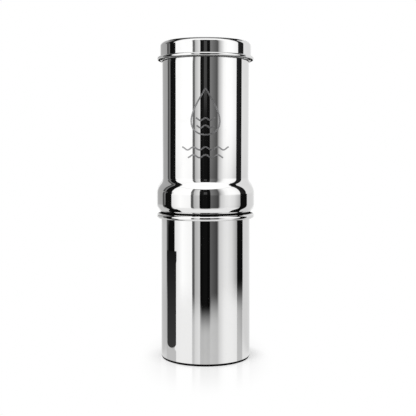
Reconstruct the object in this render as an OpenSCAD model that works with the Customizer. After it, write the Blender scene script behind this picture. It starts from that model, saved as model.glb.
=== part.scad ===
// Countertop gravity water filter. Two spun steel chambers stand one in the
// other under a slip-on lid, and a ceramic filter candle stands on the floor
// of the upper chamber, held by a wing nut under that floor.
//
// The origin is at the middle of the base, +Z up, with the front towards -Y.
// All sizes are in millimetres.

/* [Steel sheet] */
// Thickness of the sheet that both chambers and the lid are spun from
sheet = 0.7; // [0.5:0.05:0.9]
// Clearance between curved faces that seat on each other
seat_gap = 0.3; // [0.2:0.05:0.35]
// Inside radius of the pressed steps in the base and the lid
press_r = 1; // [0.8:0.1:2]

/* [Lower chamber] */
// Height of the lower chamber, from the bench to the top of its rim
lower_h = 164.2; // [145:0.2:220]
// Outside diameter of the lower chamber's wall
lower_d = 101.2; // [94:0.2:130]
// Diameter of the lower chamber's rolled rim
rim_d = 5.7; // [5:0.1:6.5]
// Outer radius of the corner round the base
base_r = 2.2; // [1.6:0.1:5]
// Width of the flat ring that the stack stands on
foot_w = 5.5; // [3:0.5:12]
// How far the middle of the base is pressed up
recess = 1.2; // [0.6:0.1:2]

/* [Upper chamber] */
// How far the neck reaches down inside the lower chamber, from its rim
neck_h = 16.2; // [12:0.2:24]
// Outer radius of the corner round the floor
floor_r = 4; // [2:0.5:6]
// Height from the lower rim to the band round the belly
curl_h = 10.3; // [9.5:0.1:14]
// Outer radius of the bend under the belly
curl_r = 8; // [5:0.5:9]
// How far the belly stands out from the line of the lower wall
belly_out = 5.1; // [4:0.1:7]
// Height of the straight band round the belly
band_h = 12.5; // [6:0.5:20]
// Outer radius of the bend from the band to the shoulder
belly_r = 16; // [8:0.5:18]
// Height of the shoulder, from the band to the wall
shoulder_h = 17.7; // [16:0.1:26]
// Outer radius of the cove between the shoulder and the wall
cove_r = 8; // [4:0.5:10]
// How far the foot of the wall lies inside the line of the lower wall
wall_in = 1.4; // [0:0.1:3]
// How much the wall's radius grows from the shoulder to the rim
draft = 0.8; // [0:0.1:2]
// Height of the wall, from the shoulder to the top of the rim
wall_h = 153.3; // [135:0.1:200]
// Diameter of the hemmed rim
hem_d = 1.9; // [1.6:0.1:2.2]
// How far the hem stands out from the wall
hem_out = 0.9; // [0.4:0.1:1.1]

/* [Lid] */
// Clearance all round between the hem and the lid's skirt
lid_slip = 0.6; // [0.4:0.1:1]
// Height of the lid
lid_h = 20.9; // [14:0.1:34]
// Outer radius of the lid's top corner
lid_r = 4; // [3.4:0.1:6]
// Diameter of the lid's rolled edge
bead_d = 4.1; // [3:0.1:5]
// Diameter of the pressed panel in the top of the lid
panel_d = 76; // [50:1:84]
// Depth of that panel
panel_drop = 0.8; // [0.4:0.1:1.6]

/* [Filter candle] */
// Outside diameter of the ceramic shell
candle_d = 50; // [44:1:60]
// Height of the candle above its seat, with its mount
candle_h = 178; // [140:1:182]
// Thickness of the ceramic wall
ceramic_t = 7; // [5:0.5:9]
// Clearance round the carbon block
carbon_gap = 1.2; // [0.8:0.1:2]
// Space left between the carbon block's cap and the start of the dome
carbon_head = 5.5; // [3:0.5:20]
// Bore down the middle of the carbon block
carbon_bore = 10; // [8:0.5:14]
// Thickness of the felt pad under the carbon block
pad_t = 2; // [1:0.5:4]
// Hole through the felt pad
pad_bore = 8; // [6:0.5:8.5]
// Thickness of the cap on the carbon block
cap_t = 2.5; // [1.5:0.5:5]
// Length of the cap's spigot
spigot_h = 4; // [2:0.5:8]
// Clearance round that spigot
spigot_gap = 0.3; // [0.1:0.1:0.6]

/* [Candle mount] */
// Wall of the cup that holds the ceramic shell
cup_t = 1.6; // [1.2:0.1:3]
// Outside height of the cup
cup_h = 14; // [10:0.5:20]
// Thickness of the cup's floor
cup_floor = 3; // [2.4:0.1:5]
// Thickness of the bond round the ceramic shell
bond_side = 0.4; // [0.3:0.1:0.8]
// Thickness of the bond under the ceramic shell
bond_under = 1; // [0.5:0.1:1.5]
// How far the bond stays below the edge of the cup
bond_down = 1; // [0.5:0.1:3]
// Diameter of the threaded stem
stem_d = 10; // [8:0.5:14]
// Length of the stem below the cup
stem_len = 18; // [17:0.5:21]
// Bore through the stem
stem_bore = 5.6; // [4:0.1:5.6]
// Diameter of the outlet screen
screen_d = 9; // [8.8:0.1:12]
// Thickness of the outlet screen
screen_t = 0.6; // [0.4:0.1:1]
// Clearance round the outlet screen and over it
screen_gap = 0.2; // [0.1:0.05:0.3]

/* [Stem fittings] */
// Clearance round the stem in the hole in the floor
hole_gap = 0.5; // [0.3:0.1:1]
// Clearance round the stem in the washers and the nut
stem_gap = 0.2; // [0.15:0.05:0.35]
// Outside diameter of the sealing washer
seal_d = 24; // [20:0.5:30]
// Thickness of the sealing washer
seal_t = 2; // [1:0.5:3]
// Outside diameter of the plain washer and of the nut's flange
washer_d = 22; // [19:0.5:28]
// Thickness of the plain washer
washer_t = 1.5; // [1:0.1:2.5]
// Height of the wing nut
nut_h = 9; // [7:0.5:11]
// Diameter of the wing nut's hub
hub_d = 17; // [15:0.5:18.5]
// Thickness of the wing nut's flange
flange_t = 1.5; // [1:0.1:2.5]
// Width across the two wings
wing_span = 42; // [34:1:56]
// Thickness of a wing
wing_t = 3; // [2:0.2:5]
// Height of a wing at its rounded tip
wing_h = 10; // [7:0.5:11]
// How far a wing's tip reaches below the hub
wing_drop = 2; // [0:0.5:4]

/* [Hidden] */
$fn = 96;

// Profiles are drawn along the middle of the sheet, half a sheet from each face.
half = sheet / 2;
// Widest angle that one short side of a bend turns through
bend_step = 6;
// Angle at which a rolled edge stops, clear of the wall that it comes from
curl_end = 118;
// How far a cut runs past the face that it opens
past = 1;

// Lower chamber
lower_r = lower_d / 2;
rim_r = rim_d / 2;
rim_c = [lower_r - sheet + rim_r, lower_h - rim_r];

// Upper chamber
neck_r = lower_r - sheet - seat_gap;
floor_z = lower_h - neck_h;
floor_top = floor_z + sheet;
hole_r = stem_d / 2 + hole_gap;
belly_x = lower_r + belly_out;
band_z = lower_h + curl_h;
shoulder_z = band_z + band_h;
wall_z = shoulder_z + shoulder_h;
wall_r = lower_r - wall_in;
top_r = wall_r + draft;
hem_r = hem_d / 2;
hem_c = [top_r + hem_out - hem_r, wall_z + wall_h - hem_r];

// The lid rests with the inside of its top corner on the hem.
lid_in_r = hem_c.x + hem_r + lid_slip;
lid_in_corner = lid_r - sheet;
corner_x = lid_in_r - lid_in_corner;
corner_reach = lid_in_corner - hem_r - seat_gap;
corner_z = hem_c.y - sqrt(max(0, pow(corner_reach, 2) - pow(hem_c.x - corner_x, 2)));
lid_top = corner_z + lid_r;
bead_r = bead_d / 2;
bead_c = [lid_in_r + bead_r, lid_top - lid_h + bead_r];

// Filter candle
seat_z = floor_top + seal_t;
cup_in_r = candle_d / 2 + bond_side;
cup_in_z = seat_z + cup_floor;
shell_z = cup_in_z + bond_under;
dome_z = seat_z + candle_h - candle_d / 2;
shell_bore = candle_d - 2 * ceramic_t;
bond_top = seat_z + cup_h - bond_down;
carbon_d = shell_bore - 2 * carbon_gap;
carbon_z = cup_in_z + pad_t;
carbon_top = dome_z - carbon_head - cap_t;
stem_z = seat_z - stem_len;
screen_seat = screen_t + screen_gap;

// Stem fittings
fitting_bore = stem_d + 2 * stem_gap;
washer_z = floor_z - washer_t;
nut_z = washer_z - nut_h;

STEEL = [0.80, 0.81, 0.83];
CERAMIC = [0.93, 0.91, 0.86];
PLASTIC = [0.94, 0.94, 0.93];
CARBON = [0.13, 0.13, 0.14];
FELT = [0.84, 0.84, 0.80];
RUBBER = [0.20, 0.20, 0.21];
ADHESIVE = [0.90, 0.88, 0.78];
GAUZE = [0.62, 0.63, 0.65];

// A profile is a list of [point, direction of the sheet's right-hand face].
function unit(a) = [cos(a), sin(a)];

// Bend of radius r about c, from angle a to angle b
function bend(c, r, a, b) =
    let (n = max(1, ceil(abs(b - a) / bend_step)), side = sign(b - a))
    [for (i = [0:n]) let (u = unit(a + (b - a) * i / n)) [c + r * u, side * u]];

// Angle on bend 1 at which a straight run leaves it for bend 2, which turns the
// other way. side picks one of the two such runs.
function crossing(c1, r1, c2, r2, side) =
    let (d = c2 - c1)
    atan2(d.y, d.x) + side * acos(min(1, (r1 + r2) / norm(d)));

// Pressed step down from p, for a profile that runs outwards (1) or inwards (-1)
function step_angle(drop) = acos(1 - drop / (2 * (press_r + half)));
function step_reach(drop) = 2 * (press_r + half) * sin(step_angle(drop));
function pressed_step(p, drop, heading) =
    let (
        r = press_r + half,
        turn = heading * step_angle(drop),
        fall = bend(p - [0, r], r, 90, 90 - turn),
        foot = bend(p + [heading * step_reach(drop), r - drop], r, 270 - turn, 270)
    )
    concat(fall, [for (i = [1:len(foot) - 1]) foot[i]]);

// Closed outline of the sheet that follows a profile
function sheet_outline(path) =
    let (last = len(path) - 1)
    concat(
        [for (i = [0:last]) path[i][0] + half * path[i][1]],
        [for (i = [last:-1:0]) path[i][0] - half * path[i][1]]
    );

module tube(outer, bore, h) {
    difference() {
        cylinder(d = outer, h = h);
        translate([0, 0, -past]) cylinder(d = bore, h = h + 2 * past);
    }
}

module lower_chamber() {
    foot_x = lower_r - base_r - foot_w;
    profile = concat(
        [[[0, recess + half], [0, -1]]],
        pressed_step([foot_x - step_reach(recess), recess + half], recess, 1),
        bend([lower_r - base_r, base_r], base_r - half, 270, 360),
        bend(rim_c, rim_r - half, 180, -curl_end)
    );
    color(STEEL) rotate_extrude() polygon(sheet_outline(profile));
}

module upper_chamber() {
    hug_r = rim_r + seat_gap + half;
    curl_c = [belly_x - curl_r, band_z];
    belly_c = [belly_x - belly_r, shoulder_z];
    cove_c = [wall_r + cove_r, wall_z];
    under = crossing(curl_c, curl_r - half, rim_c, hug_r, 1);
    over = crossing(belly_c, belly_r - half, cove_c, cove_r + half, -1);
    profile = concat(
        [[[hole_r, floor_z + half], [0, -1]]],
        bend([neck_r - floor_r, floor_z + floor_r], floor_r - half, 270, 360),
        bend(rim_c, hug_r, 180, under + 180),
        bend(curl_c, curl_r - half, under, 0),
        bend(belly_c, belly_r - half, 0, over),
        bend(cove_c, cove_r + half, over + 180, 180),
        [[[top_r - half, hem_c.y], [1, 0]]]
    );
    color(STEEL) rotate_extrude() {
        polygon(sheet_outline(profile));
        translate(hem_c) circle(hem_r);
    }
}

module lid() {
    panel_x = panel_d / 2 + step_reach(panel_drop);
    profile = concat(
        bend(bead_c, bead_r - half, 360 + curl_end, 180),
        bend([corner_x, corner_z], lid_r - half, 0, 90),
        pressed_step([panel_x, lid_top - half], panel_drop, -1),
        [[[0, lid_top - half - panel_drop], [0, 1]]]
    );
    color(STEEL) rotate_extrude() polygon(sheet_outline(profile));
}

module candle_shell() {
    color(CERAMIC) difference() {
        union() {
            translate([0, 0, shell_z]) cylinder(d = candle_d, h = dome_z - shell_z);
            translate([0, 0, dome_z]) sphere(d = candle_d);
        }
        translate([0, 0, shell_z - past])
            cylinder(d = shell_bore, h = dome_z - shell_z + past);
        translate([0, 0, dome_z]) sphere(d = shell_bore);
    }
}

module candle_mount() {
    color(PLASTIC) difference() {
        union() {
            translate([0, 0, seat_z]) cylinder(r = cup_in_r + cup_t, h = cup_h);
            translate([0, 0, stem_z]) cylinder(d = stem_d, h = stem_len + cup_floor / 2);
        }
        translate([0, 0, cup_in_z]) cylinder(r = cup_in_r, h = cup_h);
        translate([0, 0, cup_in_z - screen_seat])
            cylinder(d = screen_d + 2 * screen_gap, h = screen_seat + past);
        translate([0, 0, stem_z - past])
            cylinder(d = stem_bore, h = stem_len + cup_floor + past);
    }
}

module candle_bond() {
    color(ADHESIVE) difference() {
        translate([0, 0, cup_in_z]) cylinder(r = cup_in_r, h = bond_top - cup_in_z);
        translate([0, 0, shell_z]) cylinder(d = candle_d, h = cup_h);
        translate([0, 0, cup_in_z - past])
            cylinder(d = shell_bore, h = bond_under + 2 * past);
    }
}

module carbon_block() {
    color(CARBON) translate([0, 0, carbon_z])
        tube(carbon_d, carbon_bore, carbon_top - carbon_z);
}

module carbon_end_cap() {
    color(PLASTIC) {
        translate([0, 0, carbon_top]) cylinder(d = carbon_d, h = cap_t);
        translate([0, 0, carbon_top - spigot_h])
            cylinder(d = carbon_bore - 2 * spigot_gap, h = spigot_h + cap_t / 2);
    }
}

module carbon_base_pad() {
    color(FELT) translate([0, 0, cup_in_z]) tube(carbon_d, pad_bore, pad_t);
}

module outlet_screen() {
    color(GAUZE) translate([0, 0, cup_in_z - screen_seat])
        cylinder(d = screen_d, h = screen_t);
}

module seal_washer() {
    color(RUBBER) translate([0, 0, floor_top]) tube(seal_d, fitting_bore, seal_t);
}

module nut_washer() {
    color(PLASTIC) translate([0, 0, washer_z]) tube(washer_d, fitting_bore, washer_t);
}

module wing_nut() {
    tip_x = wing_span / 2 - wing_h / 2;
    color(PLASTIC) translate([0, 0, nut_z]) difference() {
        union() {
            cylinder(d = hub_d, h = nut_h);
            translate([0, 0, nut_h - flange_t]) cylinder(d = washer_d, h = flange_t);
            rotate([90, 0, 0]) linear_extrude(wing_t, center = true) {
                translate([-tip_x, 0]) square([2 * tip_x, nut_h - flange_t]);
                for (x = [-tip_x, tip_x])
                    translate([x, wing_h / 2 - wing_drop]) circle(wing_h / 2);
            }
        }
        translate([0, 0, -past]) cylinder(d = fitting_bore, h = nut_h + 2 * past);
    }
}

lid();
upper_chamber();
lower_chamber();
candle_shell();
candle_mount();
candle_bond();
carbon_block();
carbon_end_cap();
carbon_base_pad();
outlet_screen();
seal_washer();
nut_washer();
wing_nut();
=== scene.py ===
import math

import bmesh
import bpy
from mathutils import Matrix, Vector


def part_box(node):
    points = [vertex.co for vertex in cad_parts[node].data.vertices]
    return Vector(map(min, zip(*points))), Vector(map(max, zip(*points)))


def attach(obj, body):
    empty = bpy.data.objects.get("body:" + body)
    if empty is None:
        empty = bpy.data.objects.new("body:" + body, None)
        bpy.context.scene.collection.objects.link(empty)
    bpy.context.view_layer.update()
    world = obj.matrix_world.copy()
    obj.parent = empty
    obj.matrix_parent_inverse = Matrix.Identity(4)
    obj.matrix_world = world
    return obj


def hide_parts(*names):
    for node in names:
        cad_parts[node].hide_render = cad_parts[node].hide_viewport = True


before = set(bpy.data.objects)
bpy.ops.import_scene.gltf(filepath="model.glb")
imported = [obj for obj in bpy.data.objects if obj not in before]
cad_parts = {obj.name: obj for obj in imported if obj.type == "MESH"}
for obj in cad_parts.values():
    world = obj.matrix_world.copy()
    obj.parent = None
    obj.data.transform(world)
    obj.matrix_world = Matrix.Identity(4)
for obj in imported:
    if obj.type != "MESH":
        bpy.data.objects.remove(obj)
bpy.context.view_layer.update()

# Lengths in the settings are millimetres and angles are degrees.
mm = 0.001
weld = 0.001      # points closer than this are one


def mathMethod(operation, swapped=False):
    def method(self, *others):
        values = (*others, self) if swapped else (self, *others)
        return self.graph.math(operation, *values)
    return method


class Signal:
    # what a node gives out, so that sums in a tree can be written as sums
    def __init__(self, graph, socket):
        self.graph = graph
        self.socket = socket

    def __getitem__(self, name):
        # another output of the same node
        return Signal(self.graph, self.socket.node.outputs[name])

    __add__ = mathMethod("ADD")
    __sub__ = mathMethod("SUBTRACT")
    __mul__ = mathMethod("MULTIPLY")
    __truediv__ = mathMethod("DIVIDE")
    __rsub__ = mathMethod("SUBTRACT", swapped=True)
    __rtruediv__ = mathMethod("DIVIDE", swapped=True)
    __lt__ = mathMethod("LESS_THAN")
    __gt__ = mathMethod("GREATER_THAN")
    __abs__ = mathMethod("ABSOLUTE")


class Graph:
    # one node tree, with short words for what this script adds to it most
    def __init__(self, tree):
        self.tree = tree

    def feed(self, socket, value):
        if isinstance(value, Signal):
            self.tree.links.new(value.socket, socket)
        else:
            socket.default_value = value

    def add(self, kind, inputs=None, **settings):
        # inputs holds plain values, or the signals that feed them
        node = self.tree.nodes.new(kind if "Node" in kind else "ShaderNode" + kind)
        for name, value in settings.items():
            setattr(node, name, value)
        for name, value in (inputs or {}).items():
            self.feed(node.inputs[name], value)
        return Signal(self, node.outputs[0]) if node.outputs else None

    def geo(self, kind, inputs=None, **settings):
        return self.add("GeometryNode" + kind, inputs, **settings)

    def math(self, operation, *values):
        return self.add("Math", dict(enumerate(values)), operation=operation)

    def vector(self, operation, *values):
        return self.add("VectorMath", dict(enumerate(values)), operation=operation)

    def scaled(self, vector, scale):
        return self.add("VectorMath", {0: vector, "Scale": scale}, operation="SCALE")

    def length(self, vector):
        return self.vector("LENGTH", vector)["Value"]

    def millimetres(self):
        return self.scaled(self.add("TexCoord")["Object"], 1 / mm)

    def axes(self, vector):
        return self.add("SeparateXYZ", {"Vector": vector})

    def xyz(self, **parts):
        return self.add("CombineXYZ", parts)

    def azimuth(self, axes):
        # 0 is towards the camera, and it grows to the right
        return self.math("DEGREES", self.math("ARCTAN2", axes["X"], axes["Y"] * -1))

    def fade(self, value, low, high, smooth=True):
        # 0 below low, 1 above high
        inputs = {"Value": value, "From Min": low, "From Max": high}
        return self.add("MapRange", inputs, interpolation_type="SMOOTHSTEP" if smooth else "LINEAR")

    def grown(self, value, growths, ranges):
        # 1, and a share more as the value passes each range
        total = 1.0
        for more, (low, high) in zip(growths, ranges):
            total = self.math("MULTIPLY_ADD", self.fade(value, low, high), more, total)
        return total

    def blend(self, share, first, second):
        return self.add("Mix", {"Factor": share, "A": first, "B": second}, data_type="FLOAT")

    def tint(self, share, first, second):
        # the colour sockets of a Mix node are its last two inputs and its third output
        return self.add("Mix", {"Factor": share, 6: first, 7: second}, data_type="RGBA")[2]

    def mix(self, share, first, second):
        return self.add("MixShader", {"Fac": share, 1: first, 2: second})

    def glow(self, colour):
        return self.add("Emission", {"Color": colour, "Strength": 1.0})

    def noise(self, place, scale, detail, **more):
        inputs = {"Vector": place, "Scale": scale, "Detail": detail, **more}
        return self.add("TexNoise", inputs)

    def mirrorRays(self, rays):
        return self.math("MAXIMUM", rays["Is Glossy Ray"], rays["Is Transmission Ray"])


def freshGraph(holder):
    # the emptied node tree of a material or a world
    holder.use_nodes = True
    holder.node_tree.nodes.clear()
    return Graph(holder.node_tree)


def opaque(colour):
    return (*colour, 1.0)


def grey(level):
    return opaque([level] * 3)


def unit(angle):
    return Vector((math.cos(math.radians(angle)), math.sin(math.radians(angle))))


def angleOf(direction):
    return math.degrees(math.atan2(direction.y, direction.x))


socketKinds = {float: "NodeSocketFloat", int: "NodeSocketInt", type(None): "NodeSocketMaterial"}


def newGroup(name, kind, inputs, outputs=()):
    # inputs maps each name to its default; a material has none
    tree = bpy.data.node_groups.new(name, kind)
    if kind == "GeometryNodeTree":
        for way in ("INPUT", "OUTPUT"):
            tree.interface.new_socket("Geometry", in_out=way, socket_type="NodeSocketGeometry")
    for label, value in inputs.items():
        socket = tree.interface.new_socket(label, in_out="INPUT", socket_type=socketKinds[type(value)])
        if value is not None:
            socket.default_value = value
    for label in outputs:
        tree.interface.new_socket(label, in_out="OUTPUT", socket_type="NodeSocketFloat")
    graph = Graph(tree)
    return graph, graph.add("NodeGroupInput")


def addObject(name, data):
    holder = bpy.data.objects.new(name, data)
    bpy.context.scene.collection.objects.link(holder)
    return holder


camera = dict(distance=946, eyeHeight=235.5, lens=71.0, shiftRight=0.006, shiftUp=-0.1377)


def makeCamera():
    s = camera
    lensData = bpy.data.cameras.new("studioCamera")
    lensData.lens = s["lens"]
    lensData.sensor_width = 36
    lensData.shift_x = s["shiftRight"]
    lensData.shift_y = s["shiftUp"]
    holder = addObject("studioCamera", lensData)
    holder.location = Vector((0, -s["distance"], s["eyeHeight"])) * mm
    holder.rotation_euler = (math.radians(90), 0, 0)
    bpy.context.scene.camera = holder


makeCamera()
bpy.context.scene.view_settings.view_transform = "Standard"


# The studio is what the polished steel mirrors, and the light for everything else.
studio = dict(
    backdrop=1.0,         # seen straight by the camera
    fill=0.70,            # from all sides, on surfaces that aren't mirrors
    mirrorGain=1.26,      # makes up for the light that the steel takes away
    edge=0.5,             # width of the soft edge of each panel
    horizon=(-5, 2.5),    # where the brightness over the horizon gives way to that below it
    leftHorizon=(-5.4, -3.2), leftHorizonEnd=-87,
    # the panels on the left are nearer, so they turn when they are seen from higher up
    leftTurn=(0.02, 0.055), leftTurnFrom=((-2.5, 5.0), (6.25, 6.6)),
    leftTurnTo=(8.7, 7.7), leftTurnEnd=(-165, -125),
    # the camera's own gap is between these, with darkness over it
    gapFoot=(5, 1.5), gapTop=(19, 22), gapWidth=4.2, gapTone=0.007,
    frame=0.03, frameReach=1.1, frameWidth=34,  # a dark frame over the panels in the middle
    seam=0.8, seamReach=1.05, sideFrom=88,      # and a pale seam over those beside them
    backTop=(44, 22),     # the walls' height, from beside the object to behind it
    backTopFrom=125, backTopSoft=0.4,
    backTone=(0.015, 0.38), backToneFrom=41, backToneBy=57,  # over them it is dark at first
    backToneBeyond=(142, 156), sideTone=0.008,  # and beside the object it is black
    overhead=1.15,        # the softbox over the table, an ellipse with its back cut off
    overheadAcross=0.90, overheadForward=0.15, overheadEdge=(1.01, 0.98), overheadBack=(-0.03, -0.01),
    lowest=0.01,          # a direction is never taken to be flatter than this
    ceiling=0.7, ceilingFrom=66,                # straight above
    keyWatts=11.0, keySize=700, keyPlace=(-700, -900, 1300), keyAim=180,
)

# Each panel is: azimuth where it starts, brightness at its start and end over the
# horizon, brightness at its start and end below it. Azimuth 0 is towards the camera
# and grows to the right, and a panel ends where the next one starts.
panelsLeft = {
    "backSlot": (-180, 0.03, 0.03, 0.10, 0.10),
    "backLeftPanel": (-172, 0.80, 0.75, 0.80, 0.75),
    "leftWall": (-158, 0.42, 0.38, 0.55, 0.57),
    "leftDoor": (-121.5, 0.06, 0.10, 0.16, 0.04),
    "leftReveal": (-113.2, 0.24, 0.14, 0.004, 0.004),
    "leftFlag": (-108.3, 0.004, 0.008, 0.003, 0.006),
    "leftSoftboxFar": (-87, 1.06, 1.14, 0.84, 1.12),
    "leftSoftbox": (-62, 1.14, 1.14, 1.12, 1.02),
    "leftSoftboxRim": (-34.5, 0.13, 0.17, 0.12, 0.09),
    "leftCard": (-28, 0.52, 0.84, 0.45, 0.62),
    "cameraFlagLeft": (-14, 0.004, 0.012, 0.002, 0.006),
    "cameraGap": (-4, 0.07, 0.06, 0.006, 0.006),
}
panelsRight = {
    "cameraFlagRight": (3.8, 0.006, 0.004, 0.004, 0.002),
    "curtain": (11.5, 0.22, 0.09, 0.12, 0.05),
    "rightRamp": (30.5, 0.10, 0.50, 0.10, 0.65),
    "rightSoftboxNear": (36, 0.54, 1.02, 0.66, 0.82),
    "rightSoftbox": (48, 1.05, 1.14, 0.83, 0.87),
    "rightSoftboxFar": (58, 1.14, 1.12, 0.87, 0.76),
    "rightSoftboxEnd": (72, 1.12, 0.97, 0.74, 0.36),
    "rightFlag": (89.5, 0.02, 0.008, 0.004, 0.02),
    "rightWall": (111, 0.82, 0.71, 0.70, 0.69),
    "backRightPanel": (158, 0.75, 0.80, 0.75, 0.80),
    "backSlotRight": (172, 0.03, 0.03, 0.10, 0.10),
}
sideJoin = 3.8


def panelRamp(graph, azimuth, panels, below, low, high):
    # brightness by azimuth, for one part of the studio
    ramp = graph.add("ValToRGB", {"Fac": graph.fade(azimuth, low, high, smooth=False)})
    elements = ramp.socket.node.color_ramp.elements
    starts = [panel[0] for panel in panels.values()] + [high]
    soft = studio["edge"] / 2
    for (start, *levels), end in zip(panels.values(), starts[1:]):
        first, last = levels[2:] if below else levels[:2]
        for place, level in ((start + soft, first), (end - soft, last)):
            elements.new((place - low) / (high - low)).color = grey(level)
    # the two stops that every new ramp has
    elements.remove(elements[-1])
    elements.remove(elements[0])
    return ramp


def makeMirroredStudio(graph):
    # the studio by direction: the panels all round and the softbox on top
    s = studio
    fade, tint = graph.fade, graph.tint
    axes = graph.axes(graph.add("TexCoord")["Generated"])
    azimuth = graph.azimuth(axes)
    elevation = graph.math("DEGREES", graph.math("ARCSINE", axes["Z"]))
    turned = abs(azimuth)
    turnLimit = fade(elevation, *s["leftTurnTo"]) * fade(azimuth, *s["leftTurnEnd"])
    turnShare = graph.grown(elevation, s["leftTurn"], s["leftTurnFrom"])
    leftAzimuth = azimuth * graph.blend(turnLimit, 1.0, turnShare)
    sides = []
    for below in (False, True):
        left = panelRamp(graph, leftAzimuth, panelsLeft, below, -180, sideJoin)
        right = panelRamp(graph, azimuth, panelsRight, below, sideJoin, 180)
        sides.append(tint(azimuth > sideJoin, left, right))
    above, below = sides
    overGap = graph.math("MAXIMUM", fade(elevation, *s["gapFoot"]), fade(elevation, *s["gapTop"]))
    above = tint(overGap * (turned < s["gapWidth"]), above, grey(s["gapTone"]))
    rising = graph.blend(
        azimuth < s["leftHorizonEnd"], fade(elevation, *s["horizon"]), fade(elevation, *s["leftHorizon"]),
    )
    walls = tint(rising, below, above)
    # the softbox, as an ellipse seen from below
    height = graph.math("MAXIMUM", axes["Z"], s["lowest"])
    across = axes["X"] / (height * s["overheadAcross"])
    forward = axes["Y"] * -1 / height
    deep = forward - s["overheadForward"]
    reach = graph.math("SQRT", across * across + deep * deep)
    # round it a dark frame in the middle, a pale seam beside that, and darkness at the back
    isMiddle = turned < s["frameWidth"]
    strip = tint(isMiddle, grey(s["seam"]), grey(s["frame"]))
    stripReach = graph.blend(isMiddle, s["seamReach"], s["frameReach"])
    front = tint((turned < s["sideFrom"]) * (reach < stripReach), walls, strip)
    dark = tint(fade(elevation, s["backToneFrom"], s["backToneBy"]), *map(grey, s["backTone"]))
    dark = tint(fade(turned, *s["backToneBeyond"]), grey(s["sideTone"]), dark)
    backTop = graph.blend(fade(turned, s["backTopFrom"], 180, smooth=False), *s["backTop"])
    overBack = fade(elevation - backTop, -s["backTopSoft"], s["backTopSoft"]) * (turned > s["sideFrom"])
    roof = graph.blend(fade(elevation, s["ceilingFrom"], 90), s["overhead"], s["ceiling"])
    inRoof = fade(reach, *s["overheadEdge"]) * fade(forward, *s["overheadBack"])
    return graph.scaled(tint(inRoof, tint(overBack, front, dark), roof), s["mirrorGain"])


def makeWorld():
    world = bpy.data.worlds.new("studioWorld")
    bpy.context.scene.world = world
    graph = freshGraph(world)
    rays = graph.add("LightPath")
    lit = graph.tint(graph.mirrorRays(rays), grey(studio["fill"]), makeMirroredStudio(graph))
    seen = graph.tint(rays["Is Camera Ray"], lit, grey(studio["backdrop"]))
    background = graph.add("Background", {"Color": seen, "Strength": 1.0})
    graph.add("OutputWorld", {"Surface": background})


def makeKeyLight():
    s = studio
    data = bpy.data.lights.new("keySoftbox", "AREA")
    data.energy = s["keyWatts"]
    data.size = s["keySize"] * mm
    lamp = addObject("keySoftbox", data)
    lamp.location = Vector(s["keyPlace"]) * mm
    aim = Vector((0, 0, s["keyAim"])) * mm - lamp.location
    lamp.rotation_euler = aim.to_track_quat("-Z", "Y").to_euler()
    lamp.visible_glossy = False


# Black things near the object, which only the steel sees: a narrow card close to its
# left that stands on the table, and one at each side that fades out over it,
nearCard = dict(
    aside=-104, front=-48.8, back=5.2, foot=0.3, footRise=4.5, height=115.5, headWider=2.2, headHeight=14,
    footTone=0.055, topTone=0.012, footStep=10, fadeDown=1.0,
)
sideCards = dict(
    leftCard=dict(aside=-150, front=-40, back=3), rightCard=dict(aside=150, front=-37, back=17),
)
sideCard = dict(foot=30, solidFrom=82, height=186, footTone=0.006, topTone=0.006)
# painted shade: black rings that only the steel sees, for the shade in the seat of the upper chamber and
# under the lid's rolled edge,
ringTurns = 144
seatShadeRing = dict(inside=50.4, outside=53.1, height=164.4, tone=0.004)
beadShadeRing = dict(inside=52.4, outside=55.2, height=338.8, tone=0.02)
# and small flags level with the rim, for what hangs over them.
underFlag = dict(
    height=158.4, tone=0.004, nearRadius=56.8, nearFrom=33, nearTo=53, farRadius=92, farFrom=68, farTo=82,
)


def flatFaces(faces):
    # faces holds the corners of each face
    build = bmesh.new()
    for corners in faces:
        build.faces.new([build.verts.new(Vector(corner) * mm) for corner in corners])
    bmesh.ops.remove_doubles(build, verts=build.verts, dist=weld * mm)
    return build


def keepMesh(build, data):
    build.to_mesh(data)
    build.free()


def newStage(name, build):
    finish = bpy.data.materials.new(name)
    sheet = addObject(name, bpy.data.meshes.new(name))
    sheet.data.materials.append(finish)
    keepMesh(build, sheet.data)
    return sheet, freshGraph(finish)


def newReflected(name, faces):
    # only reflections see it
    sheet, graph = newStage(name, flatFaces(faces))
    for ray in ("camera", "diffuse", "transmission", "shadow"):
        setattr(sheet, "visible_" + ray, False)
    return sheet, graph


def makeCard(name, aside, outline, look):
    # look gives the tone at its foot and head, and the heights between which it appears
    graph = newReflected(name, [[(aside, y, z) for y, z in outline]])[1]
    height = graph.axes(graph.millimetres())["Z"]
    up = graph.fade(height, look["foot"], look["height"], smooth=False)
    tone = graph.tint(up, grey(look["footTone"]), grey(look["topTone"]))
    appears = graph.fade(height, look["foot"] - look["fadeDown"], look["solidFrom"])
    surface = graph.mix(appears, graph.add("BsdfTransparent"), graph.glow(tone))
    graph.add("OutputMaterial", {"Surface": surface})


def makeCards():
    s = nearCard
    wide, top = s["headWider"], s["height"]
    neck = top - s["headHeight"]
    middle = Vector(((s["front"] + s["back"]) / 2, s["foot"] + s["footRise"]))
    spread = Vector(((s["back"] - s["front"]) / 2, s["footRise"]))
    outline = [middle + spread * unit(angle) for angle in range(180, 361, s["footStep"])]
    outline += [(s["back"], neck), (s["back"] + wide, neck + wide), (s["back"] + wide, top)]
    outline += [(s["front"] - wide, top), (s["front"] - wide, neck + wide), (s["front"], neck)]
    makeCard("nearCard", s["aside"], outline, dict(s, solidFrom=s["foot"]))
    low, high = sideCard["foot"], sideCard["height"]
    for name, s in sideCards.items():
        outline = [(s["front"], low), (s["back"], low), (s["back"], high), (s["front"], high)]
        makeCard(name, s["aside"], outline, dict(sideCard, fadeDown=nearCard["fadeDown"]))


def makeDarkStage(name, faces, tone):
    sheet, graph = newReflected(name, faces)
    graph.add("OutputMaterial", {"Surface": graph.glow(grey(tone))})
    return sheet


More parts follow.
